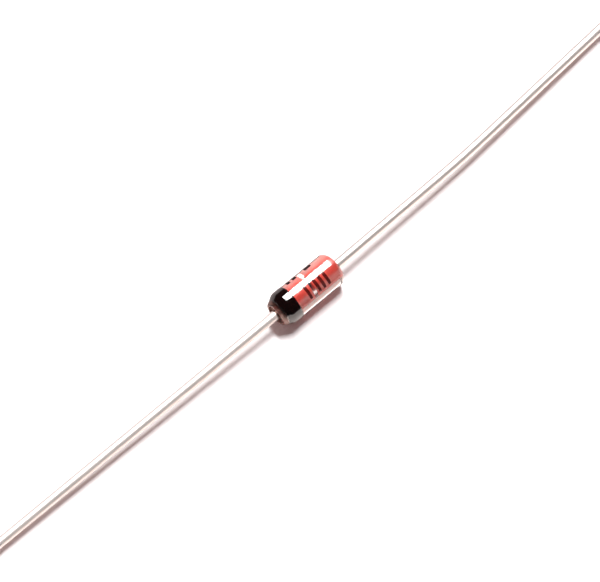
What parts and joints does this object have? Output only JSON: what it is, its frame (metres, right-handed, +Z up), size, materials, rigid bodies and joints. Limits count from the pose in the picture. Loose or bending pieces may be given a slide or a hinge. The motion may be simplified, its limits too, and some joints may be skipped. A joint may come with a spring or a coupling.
{
  "type": "axial glass signal diode",
  "caption": "Axial diode: a clear glass sleeve sealed on red copper-clad plugs, with a black cathode band and a tinned wire lead at each end.",
  "frame": {"origin": "on the surface the diode lies on, under the middle of the glass sleeve", "axes": "+X along the glass sleeve towards the anode lead, +Z up from the surface"},
  "size_m": [0.066, 0.0029, 0.0019],
  "materials": {
    "clear_glass": "polished",
    "black_ink": "gloss",
    "red_copper_oxide": "satin",
    "silicon": "satin",
    "silver": "satin",
    "tinned_wire": "satin"
  },
  "bodies": {
    "root": {"glass_sleeve": "clear_glass", "cathode_band": "black_ink", "cathode_plug": "red_copper_oxide", "anode_plug": "red_copper_oxide", "silicon_die": "silicon", "contact_bump": "silver", "cathode_lead": "tinned_wire", "anode_lead": "tinned_wire"}
  },
  "joints": []
}
